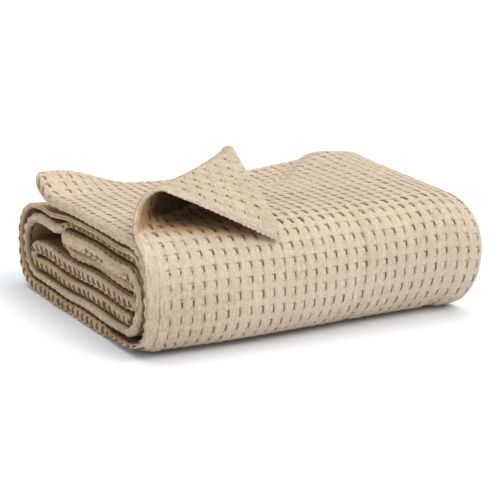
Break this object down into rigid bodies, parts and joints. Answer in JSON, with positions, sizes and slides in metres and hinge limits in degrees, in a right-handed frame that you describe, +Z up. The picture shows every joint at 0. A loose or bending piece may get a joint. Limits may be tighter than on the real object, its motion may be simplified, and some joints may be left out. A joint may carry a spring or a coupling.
{
  "type": "folded waffle weave blanket",
  "caption": "Cotton blanket folded into a flat, round-edged bundle, its layers showing at the ends and one corner of the top ply turned back.",
  "frame": {"origin": "middle of the bundle's bounding box, on the surface it rests on", "axes": "+X along the folded edge at the front, +Y to the back, where the layers' open end lies on top, +Z up"},
  "size_m": [0.39, 0.3708, 0.1727],
  "materials": {
    "cotton": "matte waffle weave cotton, warm beige"
  },
  "bodies": {
    "root": {"blanket": "cotton"}
  },
  "joints": []
}
